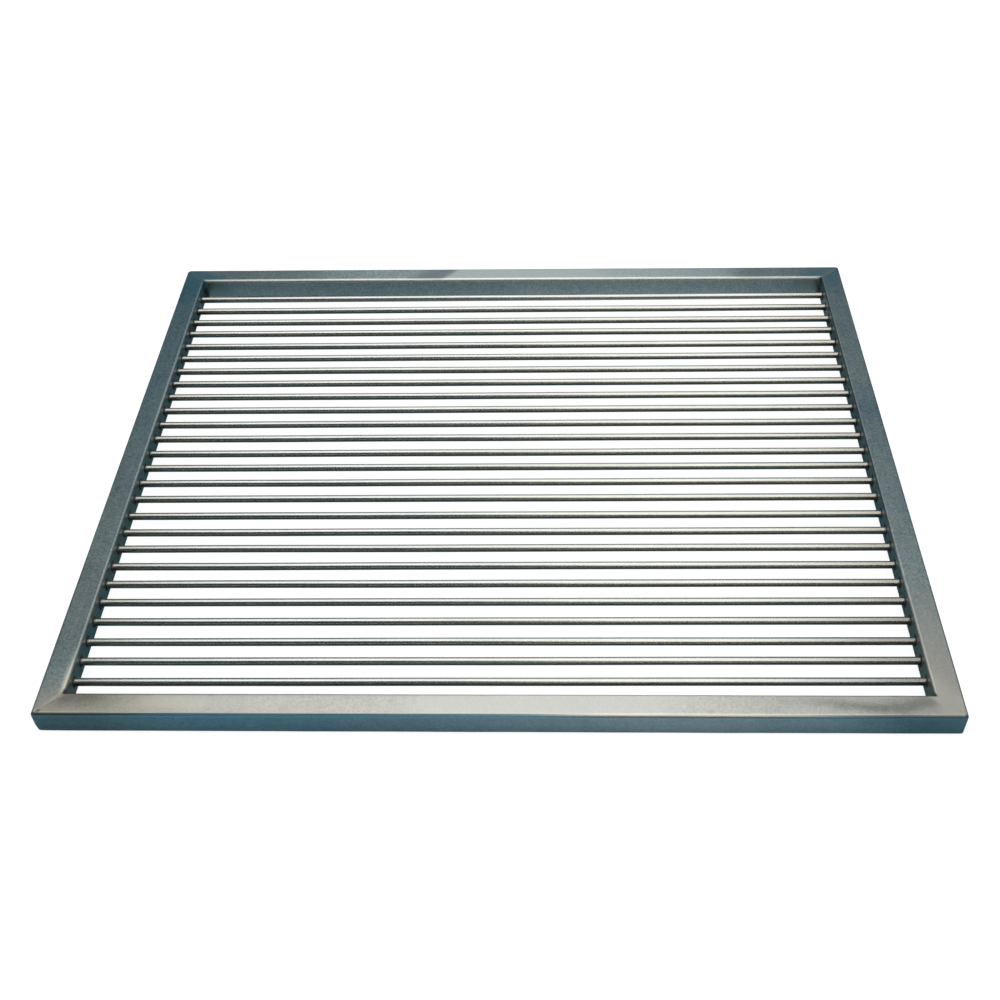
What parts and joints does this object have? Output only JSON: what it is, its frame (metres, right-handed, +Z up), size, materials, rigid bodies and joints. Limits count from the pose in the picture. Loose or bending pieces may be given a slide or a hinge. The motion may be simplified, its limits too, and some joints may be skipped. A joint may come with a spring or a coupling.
{
  "type": "queen excluder",
  "caption": "Flat rectangular steel grid laid between two hive boxes: a mitred, welded tube frame holding a row of parallel round bars with even gaps between them.",
  "frame": {"origin": "centre of the frame's footprint, on the surface that it rests on", "axes": "+X along the bars, +Y from the front rail to the rear rail, +Z up out of the grid"},
  "size_m": [0.5, 0.425, 0.0155],
  "materials": {
    "rail_steel": "satin, drawn along the tube, cool grey",
    "mitre_weld_steel": "ground flush, with faint heat tint",
    "bar_steel": "satin, drawn along the bar, warm grey",
    "bar_weld_steel": "as welded, dull, with heat tint"
  },
  "bodies": {
    "root": {"front_rail": "rail_steel", "rear_rail": "rail_steel", "left_rail": "rail_steel", "right_rail": "rail_steel", "mitre_weld_front_left": "mitre_weld_steel", "mitre_weld_front_right": "mitre_weld_steel", "mitre_weld_rear_left": "mitre_weld_steel", "mitre_weld_rear_right": "mitre_weld_steel", "bar_01": "bar_steel", "bar_02": "bar_steel", "bar_03": "bar_steel", "bar_04": "bar_steel", "bar_05": "bar_steel", "bar_06": "bar_steel", "bar_07": "bar_steel", "bar_08": "bar_steel", "bar_09": "bar_steel", "bar_10": "bar_steel", "bar_11": "bar_steel", "bar_12": "bar_steel", "bar_13": "bar_steel", "bar_14": "bar_steel", "bar_15": "bar_steel", "bar_16": "bar_steel", "bar_17": "bar_steel", "bar_18": "bar_steel", "bar_19": "bar_steel", "bar_20": "bar_steel", "bar_21": "bar_steel", "bar_22": "bar_steel", "bar_23": "bar_steel", "bar_24": "bar_steel", "bar_25": "bar_steel", "bar_26": "bar_steel", "bar_end_welds_left": "bar_weld_steel", "bar_end_welds_right": "bar_weld_steel"}
  },
  "joints": []
}
